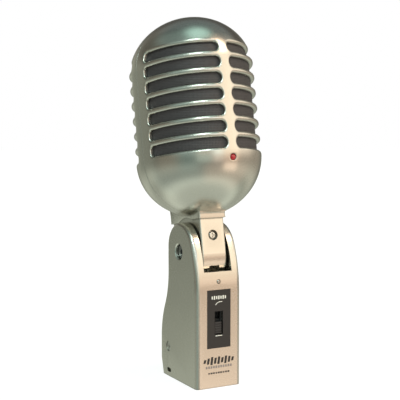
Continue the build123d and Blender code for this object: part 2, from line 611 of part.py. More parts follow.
with BuildPart(HEAD) as chassis_plate:
    with BuildSketch(head_level(TONGUE_TOP)):
        with Locations((0, SEAM_Y)):
            Ellipse(19.2, 22.0)
    extrude(amount=CHASSIS_T)
    for side in (-1, 1):
        for hand in (-1, 1):
            with Locations((hand * LUG_X, TAB_Y[side] - side * TAB_T / 2, CHASSIS_TOP + 3.8)):
                Box(6, TAB_T, 7.6)
    for side in (-1, 1):
        disc_on(head_front(TAB_Y[side] + 2), LUG_SPOTS, 1.3, 4, Mode.SUBTRACT)
    disc_on(head_level(TONGUE_TOP), TONGUE_SCREW_SPOTS, 1.3, CHASSIS_T, Mode.SUBTRACT)
    disc_on(head_level(TONGUE_TOP), FRAME_SCREW_SPOTS, 1.2, CHASSIS_T, Mode.SUBTRACT)
    disc_on(head_level(TONGUE_TOP), [(0, CABLE_Y)], CABLE_BORE_R, CHASSIS_T, Mode.SUBTRACT)
finish(chassis_plate.part, "chassis_plate")

with BuildPart(HEAD) as tongue_screws:
    disc_on(head_level(CHASSIS_TOP), TONGUE_SCREW_SPOTS, 1.9, 1.5)
    disc_on(head_level(CHASSIS_TOP), TONGUE_SCREW_SPOTS, 1.03, -9.0)
finish(tongue_screws.part, "tongue_screws")

with BuildPart(HEAD) as frame_screws:
    disc_on(head_level(TONGUE_TOP), FRAME_SCREW_SPOTS, 1.7, -1.3)
    disc_on(head_level(TONGUE_TOP), FRAME_SCREW_SPOTS, 1.0, 6.6)
finish(frame_screws.part, "frame_screws")

# ---------------------------------------------------------------- capsule
with BuildPart(HEAD) as capsule_body:
    disc_on(head_front(CAPSULE_REAR), CAPSULE_AT, CAPSULE_R, CAPSULE_REAR - CAPSULE_FRONT)
    disc_on(head_front(CAPSULE_REAR - 2.5), CAPSULE_AT, CAPSULE_R - 1.8, 12, Mode.SUBTRACT)
    with BuildSketch(head_front(CAPSULE_REAR)):
        with Locations(CAPSULE_AT[0]):
            with PolarLocations(9, 8):
                Circle(1.3)
    extrude(amount=3, mode=Mode.SUBTRACT)
finish(capsule_body.part, "capsule_body")

with BuildPart(HEAD) as capsule_backplate:
    disc_on(head_front(CAPSULE_REAR - 5.5), CAPSULE_AT, CAPSULE_R - 1.85, 2.2)
    with BuildSketch(head_front(CAPSULE_REAR - 5)):
        with Locations(CAPSULE_AT[0]):
            with PolarLocations(6, 6):
                Circle(0.9)
            with PolarLocations(11, 12):
                Circle(0.9)
    extrude(amount=4, mode=Mode.SUBTRACT)
finish(capsule_backplate.part, "capsule_backplate")

with BuildPart(HEAD) as capsule_diaphragm:
    disc_on(head_front(CAPSULE_REAR - 7.9), CAPSULE_AT, CAPSULE_R - 1.85, 0.2)
finish(capsule_diaphragm.part, "capsule_diaphragm")

ring_spots = [(13.9 * cos(radians(a)), CAPSULE_Z + 13.9 * sin(radians(a))) for a in range(0, 360, 60)]
with BuildPart(HEAD) as capsule_ring:
    disc_on(head_front(CAPSULE_REAR - 8.3), CAPSULE_AT, CAPSULE_R - 1.85, 2.0)
    disc_on(head_front(CAPSULE_REAR - 8), CAPSULE_AT, CAPSULE_R - 4.2, 5, Mode.SUBTRACT)
    disc_on(head_front(CAPSULE_REAR - 8), ring_spots, 0.62, 5, Mode.SUBTRACT)
finish(capsule_ring.part, "capsule_ring")

with BuildPart(HEAD) as capsule_screws:
    disc_on(head_front(CAPSULE_REAR - 10.3), ring_spots, 1.0, 0.7)
    disc_on(head_front(CAPSULE_REAR - 8.4), ring_spots, 0.6, 2.2)
finish(capsule_screws.part, "capsule_screws")

with BuildPart(HEAD) as capsule_arms:
    for hand in (-1, 1):
        with Locations((hand * 22.25, SEAM_Y, CAPSULE_Z)):
            Box(5.5, 2.8, 8)
finish(capsule_arms.part, "capsule_arms")

with BuildPart(HEAD) as capsule_grommets:
    for hand in (-1, 1):
        disc_on(head_side(hand * 19.5), [(SEAM_Y, CAPSULE_Z)], 3.0, -hand * 2.2)
finish(capsule_grommets.part, "capsule_grommets")

# ---------------------------------------------------------------- preamplifier
with BuildPart(HEAD) as preamp_board:
    rect_on(head_front(PCB_REAR), (-16, CHASSIS_TOP), (16, 56), PCB_T)
    disc_on(head_front(PCB_REAR), [(-12, 31), (12, 31)], 1.1, PCB_T, Mode.SUBTRACT)
finish(preamp_board.part, "preamp_board")

with BuildPart(HEAD) as board_brackets:
    for hand in (-1, 1):
        with Locations((hand * 12, PCB_REAR + 0.6, CHASSIS_TOP + 3)):
            Box(5, 1.2, 6)
        with Locations((hand * 12, PCB_REAR + 3, CHASSIS_TOP + 0.6)):
            Box(5, 6, 1.2)
finish(board_brackets.part, "board_brackets")

with BuildPart(HEAD) as capacitors:
    disc_on(head_front(PCB_FRONT), [(-9, 47), (0, 49.5), (9, 47)], 3.2, 8)
    fillet(capacitors.faces().sort_by(DEPTH)[:3].edges(), 0.5)
finish(capacitors.part, "capacitors")

with BuildPart(HEAD) as output_transformer:
    rect_on(head_front(PCB_REAR + 9), (-7, 39.5), (7, 52), 9)
    corners = output_transformer.edges().filter_by(
        lambda edge: abs(edge.tangent_at(0.5).dot(HEAD.y_dir)) > 0.99)
    fillet(corners, 1.0)
finish(output_transformer.part, "output_transformer")

with BuildPart(HEAD) as transistor:
    disc_on(head_front(PCB_FRONT - 2.5), [(9, 36)], 2.4, 4.6)
    rect_on(head_front(PCB_FRONT), (5, 31), (13, 34.8), 12, Mode.SUBTRACT)
    disc_on(head_front(PCB_FRONT), [(7.7, 36.3), (9, 36.3), (10.3, 36.3)], 0.25, 2.5)
finish(transistor.part, "transistor")

with BuildPart(HEAD) as led:
    disc_on(head_front(-38.5), [(0, LED_Z)], 1.5, 4.5)
    fillet(led.faces().sort_by(DEPTH)[0].edges(), 1.2)
    disc_on(head_front(LED_FLANGE_Y), [(0, LED_Z)], 1.85, 0.9)
finish(led.part, "led")

with BuildPart(HEAD) as led_holder:
    disc_on(head_front(-36.0), [(0, LED_Z)], 3.0, 3.4)
    disc_on(head_front(-30.0), [(0, LED_Z)], 1.9, 12, Mode.SUBTRACT)
finish(led_holder.part, "led_holder")

with BuildPart(HEAD) as led_leads:
    disc_on(head_front(PCB_FRONT), [(-0.9, LED_Z), (0.9, LED_Z)], 0.35, PCB_FRONT - LED_FLANGE_Y)
finish(led_leads.part, "led_leads")

with BuildPart(HEAD) as capsule_leads:
    disc_on(head_level(56), [(-2, PCB_FRONT + 0.8), (2, PCB_FRONT + 0.8)], 0.4, 3.1)
finish(capsule_leads.part, "capsule_leads")

with BuildPart() as head_harness:
    cord_on(head_points([(0, CABLE_Y, -7.6), (0, CABLE_Y, 35.0), (0, PCB_REAR + 0.5, 36.4)]), [3.6], 1.6)
finish(head_harness.part, "head_harness")
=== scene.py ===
"""Looks of the ribbed desktop microphone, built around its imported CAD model.

Lengths are in millimetres until a mesh is made, and every mesh is in metres.  The head's
pieces are worked out in the head's own frame, as in the CAD: x across, y towards the rear,
z up from the swivel pin.
"""
import json
import math

import bmesh
import bpy
import numpy as np
from mathutils import Matrix, Vector


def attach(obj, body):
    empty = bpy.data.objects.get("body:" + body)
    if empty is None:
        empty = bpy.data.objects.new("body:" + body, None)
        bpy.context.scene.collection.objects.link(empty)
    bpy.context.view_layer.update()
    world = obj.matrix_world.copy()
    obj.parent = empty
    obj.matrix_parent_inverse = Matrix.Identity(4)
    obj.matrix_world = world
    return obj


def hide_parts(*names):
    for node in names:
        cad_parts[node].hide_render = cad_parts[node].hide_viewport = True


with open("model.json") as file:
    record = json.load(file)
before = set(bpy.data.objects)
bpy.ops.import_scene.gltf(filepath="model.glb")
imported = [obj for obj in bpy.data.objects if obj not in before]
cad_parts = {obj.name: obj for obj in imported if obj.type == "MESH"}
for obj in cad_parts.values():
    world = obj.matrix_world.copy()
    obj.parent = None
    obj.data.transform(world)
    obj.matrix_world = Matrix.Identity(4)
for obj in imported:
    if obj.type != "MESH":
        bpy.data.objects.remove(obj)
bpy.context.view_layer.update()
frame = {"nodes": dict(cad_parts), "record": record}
nodes = frame["nodes"]
MM = 0.001

# ---------------------------------------------------------------- the head's frame and form
LEAN = math.radians(10.7)
PIVOT = Vector((0, 0, 67.5 * MM))
HEAD = Matrix.Translation(PIVOT) @ Matrix.Rotation(-LEAN, 4, "X")
HEAD_A = 31.3            # half width
HEAD_B = 36.4            # half depth
SEAM_Y = -6.5
SIDE_LOW = 47.1          # the straight part of the side, between the two domes
SIDE_HIGH = 91.5
DOME_LOW = 30.1
DOME_HIGH = 29.2
SHELL_T = 2.0
SLOT_COUNT = 7
SLOT_TOP_Z = 97.7
SLOT_PITCH = 7.99
SLOT_H = 5.2
SLOT_END_R = 1.8
RIB_HALF_W = 2.4         # the central rib
SIDE_BAND = 7.4          # plain metal from the seam to the slots' ends
EDGE_R = 1.25            # round-over of the slots' long edges
END_EDGE_R = 0.6
LED_EDGE_R = 0.2
SEAM_R = 0.3
SEAM_GAP = 0.08
LED_Z = 42.4
LED_HOLE_R = 1.65
REAR_SCREW = (10.0, 31.6)
REAR_SCREW_R = 2.7
REAR_SEAT_Y = 17.4
REAR_RIM = 0.25          # round-over of the counterbore's rim
RIM_STEPS = ((0.08, 0.1), (0.0, 0.3))  # how far outside the bore and how deep the round-over passes
REAR_BOSS_R = 3.7
REAR_FLOOR_T = 0.9       # metal under the screw's head

# ---------------------------------------------------------------- camera
VIEW_AZIMUTH = -28.13
VIEW_ELEVATION = 4.31
VIEW_DISTANCE = 0.46663
VIEW_TARGET = Vector((-0.0002, 0.0001, 0.09382))
LENS_MM = 81.04


def direction(azimuth, elevation):
    """Unit vector from the object towards a viewer at this azimuth and elevation, in degrees."""
    a, e = math.radians(azimuth), math.radians(elevation)
    return Vector((math.sin(a) * math.cos(e), -math.cos(a) * math.cos(e), math.sin(e)))


def make_camera():
    data = bpy.data.cameras.new("camera")
    data.lens = LENS_MM
    data.sensor_width = 36.0
    data.clip_start = 0.01
    camera = bpy.data.objects.new("camera", data)
    bpy.context.scene.collection.objects.link(camera)
    camera.location = VIEW_TARGET + direction(VIEW_AZIMUTH, VIEW_ELEVATION) * VIEW_DISTANCE
    camera.rotation_euler = (VIEW_TARGET - camera.location).to_track_quat("-Z", "Y").to_euler()
    bpy.context.scene.camera = camera


# ---------------------------------------------------------------- node helpers
class Nodes:
    """A node tree with short calls for the nodes that the materials and the light use."""

    def __init__(self, tree):
        self.tree = tree

    def add(self, kind, **settings):
        node = self.tree.nodes.new(kind)
        for name, value in settings.items():
            setattr(node, name, value)
        return node

    def link(self, value, socket):
        if isinstance(value, bpy.types.NodeSocket):
            self.tree.links.new(value, socket)
        else:
            socket.default_value = value

    def math(self, operation, first, second=0.0):
        node = self.add("ShaderNodeMath", operation=operation)
        self.link(first, node.inputs[0])
        self.link(second, node.inputs[1])
        return node.outputs[0]

    def scaled(self, vector, factor):
        node = self.add("ShaderNodeVectorMath", operation="SCALE")
        self.link(vector, node.inputs[0])
        self.link(factor, node.inputs["Scale"])
        return node.outputs[0]

    def plus(self, first, second):
        node = self.add("ShaderNodeVectorMath", operation="ADD")
        self.link(first, node.inputs[0])
        self.link(second, node.inputs[1])
        return node.outputs[0]

    def fade(self, value, start, stop, first=1.0, last=0.0):
        """first below start, last above stop, and a smooth step between."""
        node = self.add("ShaderNodeMapRange", interpolation_type="SMOOTHSTEP")
        self.link(value, node.inputs["Value"])
        ends = {"From Min": start, "From Max": stop, "To Min": first, "To Max": last}
        for name, number in ends.items():
            node.inputs[name].default_value = number
        return node.outputs[0]

    def noise(self, vector, scale, detail=2.0, roughness=0.5):
        node = self.add("ShaderNodeTexNoise")
        self.link(vector, node.inputs["Vector"])
        node.inputs["Scale"].default_value = scale
        node.inputs["Detail"].default_value = detail
        node.inputs["Roughness"].default_value = roughness
        return node.outputs["Fac"]

    def mix(self, factor, first, second):
        node = self.add("ShaderNodeMix", data_type="RGBA")
        self.link(factor, node.inputs["Factor"])
        self.link(first, node.inputs["A"])
        self.link(second, node.inputs["B"])
        return node.outputs["Result"]

    def bump(self, height, strength, distance):
        node = self.add("ShaderNodeBump")
        node.inputs["Strength"].default_value = strength
        node.inputs["Distance"].default_value = distance
        self.link(height, node.inputs["Height"])
        return node.outputs["Normal"]


# ---------------------------------------------------------------- floor and studio light
# Soft light panels round the microphone: azimuth, elevation, half width, half height and
# soft edge in degrees, then the colour of the light, brightness included.
PANELS = (
    ("table", 0, -90, 180, 36, 18, (0.57, 0.62, 0.54)),
    ("low_left", -85, -35, 45, 9, 20, (0.32, 0.37, 0.33)),
    ("low_front", 22, -35, 42, 9, 20, (0.52, 0.47, 0.39)),
    ("below_warm", 26, -20, 13, 5, 6, (1.1, 0.84, 0.66)),
    ("low_back", 150, -35, 65, 9, 20, (0.37, 0.4, 0.34)),
    ("side_back_left", -155, -5, 22, 11, 16, (0.26, 0.28, 0.235)),
    ("side_left", -100, -5, 13, 11, 16, (0.25, 0.235, 0.19)),
    ("side_teal", -62, -5, 9, 11, 16, (0.16, 0.22, 0.2)),
    ("side_right", 80, -5, 24, 11, 24, (0.37, 0.33, 0.27)),
    ("side_back_right", 150, -5, 25, 11, 24, (0.17, 0.175, 0.145)),
    ("level_mint", -31, -3, 10, 4, 9, (0.55, 0.66, 0.58)),
    ("level_gap", -4, -3, 6, 4, 9, (0.95, 0.82, 0.7)),
    ("level_warm", 26, -1, 14, 3, 8, (1.0, 0.73, 0.55)),
    ("front_mint", -31, 14, 10, 4, 9, (0.62, 0.55, 0.45)),
    ("front_gap", -4, 14, 6, 4, 9, (1.5, 1.6, 1.45)),
    ("front_warm", 26, 14, 14, 4, 9, (1.5, 1.27, 1.0)),
    ("front_right", 62, 12, 12, 8, 12, (0.3, 0.23, 0.19)),
    ("mid_back_left", -140, 26, 35, 9, 18, (0.125, 0.12, 0.1)),
    ("mid_teal", -68, 26, 15, 9, 18, (0.36, 0.47, 0.44)),
    ("mid_mint", -31, 31, 10, 5, 10, (0.85, 0.95, 0.92)),
    ("mid_gap", -4, 31, 6, 5, 10, (1.2, 1.32, 1.35)),
    ("mid_warm", 26, 31, 13, 5, 10, (1.1, 1.0, 0.82)),
    ("mid_right", 68, 26, 17, 9, 18, (0.95, 0.88, 0.74)),
    ("mid_back_right", 142, 26, 34, 9, 24, (0.07, 0.065, 0.06)),
    ("high_left", -100, 55, 50, 8, 14, (0.18, 0.245, 0.23)),
    ("high_mint", -37, 50, 10, 7, 8, (7.0, 8.6, 8.2)),
    ("high_warm", 38, 50, 11, 8, 8, (6.6, 5.1, 3.9)),
    ("high_right", 130, 55, 60, 8, 14, (0.135, 0.165, 0.17)),
    ("top", 0, 90, 180, 8, 16, (0.66, 1.04, 0.95)),
)


def panel_mask(tree, x, y, elevation, panel):
    """1 where a panel covers the direction (x, y, elevation), fading to 0 over its soft edge."""
    _, azimuth, middle, half_w, half_h, soft, _ = panel
    a = math.radians(azimuth)
    toward_x = tree.math("MULTIPLY", x, math.sin(a))
    toward_y = tree.math("MULTIPLY", y, math.cos(a))
    aside_x = tree.math("MULTIPLY", x, math.cos(a))
    aside_y = tree.math("MULTIPLY", y, math.sin(a))
    ahead = tree.math("SUBTRACT", toward_x, toward_y)
    aside = tree.math("ADD", aside_x, aside_y)
    turn = tree.math("ABSOLUTE", tree.math("DEGREES", tree.math("ARCTAN2", aside, ahead)))
    rise = tree.math("ABSOLUTE", tree.math("SUBTRACT", elevation, float(middle)))
    in_width = tree.fade(turn, half_w, half_w + soft)
    in_height = tree.fade(rise, half_h, half_h + soft)
    return tree.math("MULTIPLY", in_width, in_height)


def make_light():
    """A studio as a light map by direction; the camera sees plain white behind the object."""
    world = bpy.data.worlds.new("studio")
    world.use_nodes = True
    bpy.context.scene.world = world
    tree = Nodes(world.node_tree)
    world.node_tree.nodes.clear()
    towards = tree.add("ShaderNodeTexCoord").outputs["Generated"]
    split = tree.add("ShaderNodeSeparateXYZ")
    tree.link(towards, split.inputs[0])
    x, y, z = split.outputs
    elevation = tree.math("DEGREES", tree.math("ARCSINE", z))
    light = (0.0, 0.0, 0.0)
    for panel in PANELS:
        colour = panel[-1]
        light = tree.plus(light, tree.scaled(colour, panel_mask(tree, x, y, elevation, panel)))
    lamp = tree.add("ShaderNodeBackground")
    tree.link(light, lamp.inputs["Color"])
    white = tree.add("ShaderNodeBackground")
    white.inputs["Color"].default_value = (1, 1, 1, 1)
    seen = tree.add("ShaderNodeLightPath").outputs["Is Camera Ray"]
    both = tree.add("ShaderNodeMixShader")
    tree.link(seen, both.inputs[0])
    tree.link(lamp.outputs[0], both.inputs[1])
    tree.link(white.outputs[0], both.inputs[2])
    output = tree.add("ShaderNodeOutputWorld")
    tree.link(both.outputs[0], output.inputs[0])
    bpy.context.scene.view_settings.view_transform = "Standard"


FLOOR_RADIUS = 6.0       # metres
FLOOR_GAP = 0.0002       # metres under the base
FLOOR_GREY = (0.3, 0.3, 0.3, 1)
FLOOR_GLOW = 0.84


def make_floor():
    """A plain pale floor that glows a little, as a light table does."""
    bm = bmesh.new()
    bmesh.ops.create_circle(bm, cap_ends=True, segments=64, radius=FLOOR_RADIUS)
    mesh = bpy.data.meshes.new("floor")
    bm.to_mesh(mesh)
    bm.free()
    floor = bpy.data.objects.new("floor", mesh)
    bpy.context.scene.collection.objects.link(floor)
    floor.location = (0, 0, -FLOOR_GAP)
    floor.visible_glossy = False
    paint = bpy.data.materials.new("floor_white")
    paint.use_nodes = True
    shader = paint.node_tree.nodes["Principled BSDF"]
    shader.inputs["Base Color"].default_value = FLOOR_GREY
    shader.inputs["Roughness"].default_value = 0.9
    shader.inputs["Emission Color"].default_value = (1, 1, 1, 1)
    shader.inputs["Emission Strength"].default_value = FLOOR_GLOW
    mesh.materials.append(paint)


# ---------------------------------------------------------------- materials
def new_material(name, metallic, roughness, **sockets):
    """A named material with its constant sockets set; returns it, its tree and its shader."""
    made = bpy.data.materials.new(name)
    made.use_nodes = True
    shader = made.node_tree.nodes["Principled BSDF"]
    shader.inputs["Metallic"].default_value = metallic
    shader.inputs["Roughness"].default_value = roughness
    for socket, value in sockets.items():
        shader.inputs[socket].default_value = value
    return made, Nodes(made.node_tree), shader


NICKEL_DARK = (0.64, 0.62, 0.56, 1)
NICKEL_LIGHT = (0.7, 0.675, 0.61, 1)
NICKEL_WORN = (0.8, 0.775, 0.71, 1)
# The dark crevice colour is painted shade: it is mixed in where nearby surfaces occlude, in corners, seams
# and recesses.
CREVICE_SHADE = (0.05, 0.045, 0.04, 1)
CREVICE_SHADE_REACH = 1.1 * MM   # how far from a corner the painted shade reaches
CLOUD_SCALE = 60         # noise scales are per metre
BLAST_SCALE = 4200
NICKEL_ROUGHNESS = 0.23  # the least; the grain and the clouds add to it
ROUGHER = 0.04


def satin_nickel():
    """Satin champagne nickel: a fine blasted grain, cloudy plating, brighter worn edges and painted shade
    darkening its corners and crevices.
    """
    made, tree, shader = new_material("satin_nickel", 1.0, 0.3)
    place = tree.add("ShaderNodeTexCoord").outputs["Object"]
    cloud = tree.noise(place, CLOUD_SCALE, 3)
    grain = tree.noise(place, BLAST_SCALE, 2, 0.6)
    plating = tree.mix(cloud, NICKEL_DARK, NICKEL_LIGHT)
    pointiness = tree.add("ShaderNodeNewGeometry").outputs["Pointiness"]
    worn = tree.fade(pointiness, 0.53, 0.6, 0.0, 0.5)
    # painted shade: occluded corners and crevices turn towards the dark crevice colour
    nook = tree.add("ShaderNodeAmbientOcclusion", samples=6)
    nook.inputs["Distance"].default_value = CREVICE_SHADE_REACH
    crevice_shade = tree.fade(nook.outputs["AO"], 0.3, 0.95, 0.95, 0.0)
    bright = tree.mix(worn, plating, NICKEL_WORN)
    tree.link(tree.mix(crevice_shade, bright, CREVICE_SHADE), shader.inputs["Base Color"])
    uneven = tree.math("ADD", tree.math("MULTIPLY", grain, ROUGHER), tree.math("MULTIPLY", cloud, ROUGHER))
    tree.link(tree.math("ADD", uneven, NICKEL_ROUGHNESS), shader.inputs["Roughness"])
    tree.link(tree.bump(grain, 0.03, 0.00001), shader.inputs["Normal"])
    return made


GLOSS_SPREAD = 0.16      # from the glossiest to the dullest spot of a plain finish

# Plain finishes: darkest and lightest colour, metallic, roughness and grain scale per metre.
FINISHES = {
    "bright_steel": ((0.55, 0.55, 0.52), (0.75, 0.74, 0.7), 1.0, 0.25, 900),
    "black_steel": ((0.15, 0.16, 0.155), (0.24, 0.25, 0.24), 0.8, 0.42, 900),
    "brass": ((0.6, 0.42, 0.17), (0.75, 0.56, 0.26), 1.0, 0.28, 700),
    "gold_film": ((0.8, 0.6, 0.25), (0.9, 0.72, 0.36), 1.0, 0.15, 200),
    "dark_foam": ((0.015, 0.012, 0.014), (0.06, 0.05, 0.055), 0.0, 0.95, 1800),
    "black_plastic": ((0.018, 0.018, 0.019), (0.035, 0.034, 0.035), 0.0, 0.42, 1400),
    "capacitor_sleeve": ((0.03, 0.05, 0.15), (0.05, 0.08, 0.22), 0.0, 0.25, 200),
    "nylon": ((0.66, 0.65, 0.58), (0.78, 0.77, 0.7), 0.0, 0.45, 500),
    "soft_rubber": ((0.02, 0.02, 0.02), (0.04, 0.04, 0.04), 0.0, 0.75, 900),
    "cable_sleeve": ((0.025, 0.025, 0.028), (0.05, 0.05, 0.055), 0.0, 0.55, 600),
    "circuit_board": ((0.03, 0.18, 0.06), (0.06, 0.28, 0.11), 0.0, 0.35, 350),
    "transformer_can": ((0.24, 0.24, 0.26), (0.34, 0.34, 0.36), 0.9, 0.4, 500),
    "led_lens": ((0.3, 0.004, 0.008), (0.42, 0.008, 0.014), 0.0, 0.12, 120),
    "black_label": ((0.012, 0.012, 0.012), (0.022, 0.021, 0.021), 0.0, 0.4, 2200),
}
# What differs from plain()'s relief, its depth and the shader's other sockets.
EXTRAS = {
    "dark_foam": {"relief": 0.8, "depth": 0.0004},
    "led_lens": {"relief": 0.02, "Coat Weight": 0.6, "Emission Color": (0.5, 0.0, 0.01, 1),
                 "Emission Strength": 0.06},
    "black_label": {"relief": 0.1},
}


def plain(name, finish, relief=0.15, depth=0.00005, **sockets):
    """A surface with a fine mottled colour, an uneven gloss and a slight relief of its own."""
    dark, light, metallic, roughness, scale = finish
    made, tree, shader = new_material(name, metallic, roughness, **sockets)
    place = tree.add("ShaderNodeTexCoord").outputs["Object"]
    grain = tree.noise(place, scale, 4, 0.6)
    tree.link(tree.mix(grain, (*dark, 1), (*light, 1)), shader.inputs["Base Color"])
    uneven = tree.math("MULTIPLY", grain, GLOSS_SPREAD)
    tree.link(tree.math("ADD", uneven, roughness - GLOSS_SPREAD / 2), shader.inputs["Roughness"])
    tree.link(tree.bump(grain, relief, depth), shader.inputs["Normal"])
    return made


WIRE_PITCH = 0.8 * MM
MESH_RADIUS = 33 * MM    # about the mesh's plan radius, so the upright wires keep the same pitch
WIRE_SHADE = (0.012, 0.011, 0.012, 1)
WIRE_LIGHT = (0.075, 0.07, 0.072, 1)


def woven_mesh():
    """Dark woven wire: crossing wires as colour and relief."""
    made, tree, shader = new_material("dark_mesh", 0.35, 0.5)
    place = tree.add("ShaderNodeTexCoord").outputs["Object"]
    split = tree.add("ShaderNodeSeparateXYZ")
    tree.link(place, split.inputs[0])
    x, y, z = split.outputs
    across = tree.math("ARCTAN2", x, y)
    wires = 2 * math.pi / WIRE_PITCH
    turned = tree.math("MULTIPLY", across, wires * MESH_RADIUS / 2)
    upright = tree.math("ABSOLUTE", tree.math("SINE", turned))
    flat = tree.math("ABSOLUTE", tree.math("SINE", tree.math("MULTIPLY", z, wires / 2)))
    weave = tree.math("MAXIMUM", upright, flat)
    tree.link(tree.mix(weave, WIRE_SHADE, WIRE_LIGHT), shader.inputs["Base Color"])
    tree.link(tree.bump(weave, 0.6, 0.0002), shader.inputs["Normal"])
    return made


def make_materials():
    """Every slot's material by name."""
    made = {name: plain(name, finish, **EXTRAS.get(name, {})) for name, finish in FINISHES.items()}
    made["satin_nickel"] = satin_nickel()
    made["dark_mesh"] = woven_mesh()
    return made


# ---------------------------------------------------------------- head shells
ANGLES = np.linspace(0, math.pi / 2, 1001)
SPEED = np.hypot(HEAD_A * np.cos(ANGLES), HEAD_B * np.sin(ANGLES))
ARC = np.concatenate(([0], np.cumsum((SPEED[1:] + SPEED[:-1]) / 2 * ANGLES[1])))
QUARTER = float(ARC[-1])                       # the plan outline from its middle to the seam
RIB_ANGLE = math.asin(RIB_HALF_W / HEAD_A)
BAND_ANGLE = math.acos(SIDE_BAND / HEAD_B)
RIB_ARC = float(np.interp(RIB_ANGLE, ANGLES, ARC))
BAND_ARC = float(np.interp(BAND_ANGLE, ANGLES, ARC))

CELL_ROWS = 8            # rows of the mesh in each slot's cell
LOW_DOME_ROWS = 20
LAMP_ROWS = 6
HIGH_DOME_ROWS = 18
RIB_COLUMNS = 7          # columns of the mesh up to RIB_COLUMNS_END, then from there to the seam
RIB_COLUMNS_END = 5.6
SIDE_COLUMNS = 35
SAME = 1e-6              # heights this close are the same row
HOLD_FROM = 0.4          # the rib keeps its width where the outline is wider than this share,
HOLD_OVER = 0.5          # fully so this much wider
CELLS_LOW = SLOT_TOP_Z - (SLOT_COUNT - 0.5) * SLOT_PITCH
CELLS_HIGH = SLOT_TOP_Z + SLOT_PITCH / 2
LAMP_LOW = 2 * LED_Z - CELLS_LOW               # a band as far below the lamp as the slots are above
LAST_COLUMN = QUARTER - 1.2


def level(z):
    """How far the plan outline shrinks at this height, and the upward part of the form's gradient."""
    if z > SIDE_HIGH:
        rise, reach = z - SIDE_HIGH, DOME_HIGH
    elif z < SIDE_LOW:
        rise, reach = z - SIDE_LOW, DOME_LOW
    else:
        return 1.0, 0.0
    return math.sqrt(max(0.0, 1 - (rise / reach) ** 2)), rise / reach ** 2


def angle_at(p, shrink):
    """Plan angle at arc length p; the rib and the side band keep their widths in the domes."""
    base = np.interp(p, ARC, ANGLES)
    hold = min(max((shrink - HOLD_FROM) / HOLD_OVER, 0.0), 1.0)
    if hold == 0:
        return base
    rib = math.asin(RIB_HALF_W / (HEAD_A * shrink))
    band = math.acos(SIDE_BAND / (HEAD_B * shrink))
    held = np.interp(base, (0, RIB_ANGLE, BAND_ANGLE, math.pi / 2), (0, rib, band, math.pi / 2))
    return base + (held - base) * hold


def on_shell(p, z, depth, side):
    """Point of the front (-1) or rear (+1) shell at arc length p, height z and depth under its face."""
    shrink, rise = level(z)
    angle = angle_at(p, shrink)
    x = shrink * HEAD_A * math.sin(angle)
    d = shrink * HEAD_B * math.cos(angle)
    normal = Vector((x / HEAD_A ** 2, side * d / HEAD_B ** 2, rise)).normalized()
    return Vector((x, SEAM_Y + side * d, z)) - normal * depth


def arc_of(x, z):
    """Arc length p whose point at height z lies this far across."""
    shrink, _ = level(z)
    arcs = np.linspace(0, QUARTER, 160)
    widths = shrink * HEAD_A * np.sin(angle_at(arcs, shrink))
    return float(np.interp(x, widths, arcs))


def dome_rows(centre, reach, low, high, count):
    """Heights of evenly turned rows on a dome, from low to high."""
    first, last = (math.asin(max(-1.0, min(1.0, (z - centre) / reach))) for z in (low, high))
    return [centre + reach * math.sin(first + (last - first) * i / count) for i in range(count + 1)]


def shell_rows():
    """Heights of the mesh's rows; the slots' cells and the lamp's block start and end on a row."""
    rows = dome_rows(SIDE_LOW, DOME_LOW, SIDE_LOW - DOME_LOW, LAMP_LOW, LOW_DOME_ROWS)
    rows += list(np.linspace(LAMP_LOW, CELLS_LOW, LAMP_ROWS + 1)[1:])
    rows += list(np.linspace(CELLS_LOW, CELLS_HIGH, SLOT_COUNT * CELL_ROWS + 1)[1:])
    rows += dome_rows(SIDE_HIGH, DOME_HIGH, CELLS_HIGH, SIDE_HIGH + DOME_HIGH, HIGH_DOME_ROWS)[1:]
    return [float(z) for z in rows]


def shell_columns():
    """Arc lengths of the mesh's columns, from the central rib to the band along the seam."""
    rib = np.linspace(0, RIB_COLUMNS_END, RIB_COLUMNS + 1)
    side = np.linspace(RIB_COLUMNS_END, LAST_COLUMN, SIDE_COLUMNS + 1)[1:]
    return [float(p) for p in (*rib, *side)]


ROWS = shell_rows()
COLUMNS = shell_columns()


def around(centre_p, centre_v, radius, turn, sign=1):
    """Point of a slot corner's arc at this turn in radians, and its outward direction."""
    out_p, out_v = math.cos(turn), sign * math.sin(turn)
    return (centre_p + radius * out_p, sign * centre_v + radius * out_v), (out_p, out_v)


def slot_edge(p, z, middle):
    """The slot's outline point that faces the cell's border point, and its outward direction."""
    half = SLOT_PITCH / 2
    radius = SLOT_H / 2
    v = z - middle
    sign = 1 if v >= 0 else -1
    flat = radius - SLOT_END_R
    left = RIB_ARC + radius
    right = BAND_ARC - SLOT_END_R
    if abs(abs(v) - half) < SAME:
        if p < left:
            return around(left, 0.0, radius, math.radians(135 - 45 * p / left), sign)
        if p > right:
            turn = math.radians(90 - 45 * (p - right) / (LAST_COLUMN - right))
            return around(right, flat, SLOT_END_R, turn, sign)
        return (p, sign * radius), (0.0, sign)
    if p < LAST_COLUMN / 2:
        return around(left, 0.0, radius, math.pi - math.radians(45) * v / half)
    run = abs(v) / half * (flat + SLOT_END_R * math.pi / 4)
    if run < flat:
        return (BAND_ARC, sign * run), (1.0, 0.0)
    return around(right, flat, SLOT_END_R, (run - flat) / SLOT_END_R, sign)


def border(columns, rows, closed):
    """The border of a block of the grid, clockwise from its top left; open along x = 0."""
    points = [(p, rows[-1]) for p in columns]
    points += [(columns[-1], z) for z in reversed(rows[1:-1])]
    points += [(p, rows[0]) for p in reversed(columns)]
    if closed:
        points += [(columns[0], z) for z in rows[1:-1]]
    return points


def join_rings(bm, rings, closed):
    """Quads between each ring of points and the next."""
    made = [[bm.verts.new(point) for point in ring] for ring in rings]
    for near, far in zip(made, made[1:]):
        for i in range(len(near) if closed else len(near) - 1):
            j = (i + 1) % len(near)
            bm.faces.new((near[i], near[j], far[j], far[i]))
    return made


OUTER_SHARES = (1.0, 0.66, 0.33)   # rings between a block's border and its hole, outside
INNER_SHARES = (0.0, 0.5, 1.0)     # and inside


